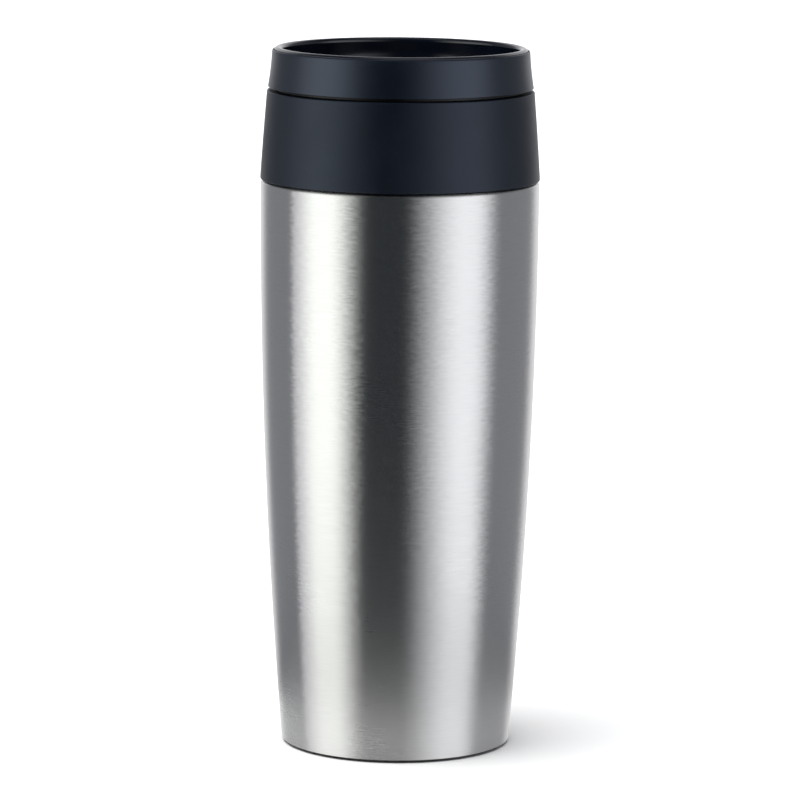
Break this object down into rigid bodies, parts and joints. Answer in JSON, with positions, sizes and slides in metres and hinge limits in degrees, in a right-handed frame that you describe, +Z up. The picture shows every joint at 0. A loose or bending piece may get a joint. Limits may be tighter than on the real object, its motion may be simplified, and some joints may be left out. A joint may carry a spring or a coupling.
{
  "type": "insulated travel mug",
  "caption": "Double-walled steel travel mug without a handle, with a screw-in plastic lid, a drinking rim open all round and a press-button valve.",
  "frame": {"origin": "centre of the foot ring, on the surface the mug stands on", "axes": "+Z up along the mug's axis; the mug is round, so X and Y only place the starts of the threads"},
  "size_m": [0.0816, 0.0816, 0.205],
  "materials": {
    "brushed_steel": "fine brushed round the axis, clear",
    "liner_steel": "electropolished and spun, semi-bright",
    "solder": "dull glassy solder bead",
    "getter": "pressed grey metal powder",
    "silicone_black": "matte silicone",
    "silicone_clear": "translucent grey silicone",
    "lid_plastic": "fine-textured polypropylene",
    "inner_plastic": "smooth polypropylene",
    "rim_plastic": "polished polypropylene",
    "soft_touch": "soft-touch elastomer skin, dark slate",
    "latch_plastic": "natural acetal",
    "spring_steel": "stainless spring wire"
  },
  "bodies": {
    "mug": {"outer_shell": "brushed_steel", "inner_liner": "liner_steel", "bottom_pan": "liner_steel", "vacuum_seal": "solder", "getter_clip": "liner_steel", "getter_pellet": "getter", "base_cover": "brushed_steel", "foot_ring": "silicone_black"},
    "seal_carrier": {"lid_gasket": "silicone_clear"},
    "lid": {"lid_core": "lid_plastic", "collar_sleeve": "soft_touch", "drinking_ring": "rim_plastic", "ring_seal": "silicone_clear", "ring_sleeve": "soft_touch", "flow_funnel": "lid_plastic", "valve_bridge": "inner_plastic", "latch_sleeve": "latch_plastic", "hub_cap": "inner_plastic", "return_spring": "spring_steel"},
    "valve": {"plunger_stem": "inner_plastic", "stem_seal": "silicone_clear", "push_button": "rim_plastic", "valve_plate": "inner_plastic", "valve_seal": "silicone_clear", "valve_nut": "inner_plastic"},
    "latch": {"latch_rotor": "latch_plastic"}
  },
  "joints": [
    {"name": "lid_rise", "type": "slide", "parent": "mug", "child": "seal_carrier", "axis": [0, 0, 1], "range_m": [0, 0.0301]},
    {"name": "lid_turn", "type": "hinge", "parent": "seal_carrier", "child": "lid", "pos_m": [0, 0, 0.1489], "axis": [0, 0, 1], "range_deg": [0, 720]},
    {"name": "button_press", "type": "slide", "parent": "lid", "child": "valve", "axis": [0, 0, -1], "range_m": [0, 0.005], "stiffness_N_per_m": 600, "springref_m": -0.004, "deforming": ["return_spring"]},
    {"name": "latch_turn", "type": "hinge", "parent": "valve", "child": "latch", "pos_m": [0, 0, 0.179], "axis": [0, 0, -1], "range_deg": [0, 45.1]}
  ],
  "couplings": [
    {"joint": "lid_rise", "follows": "lid_turn", "m_per_rad": 0.0023873},
    {"joint": "latch_turn", "follows": "button_press", "rad_per_m": 157.08}
  ]
}
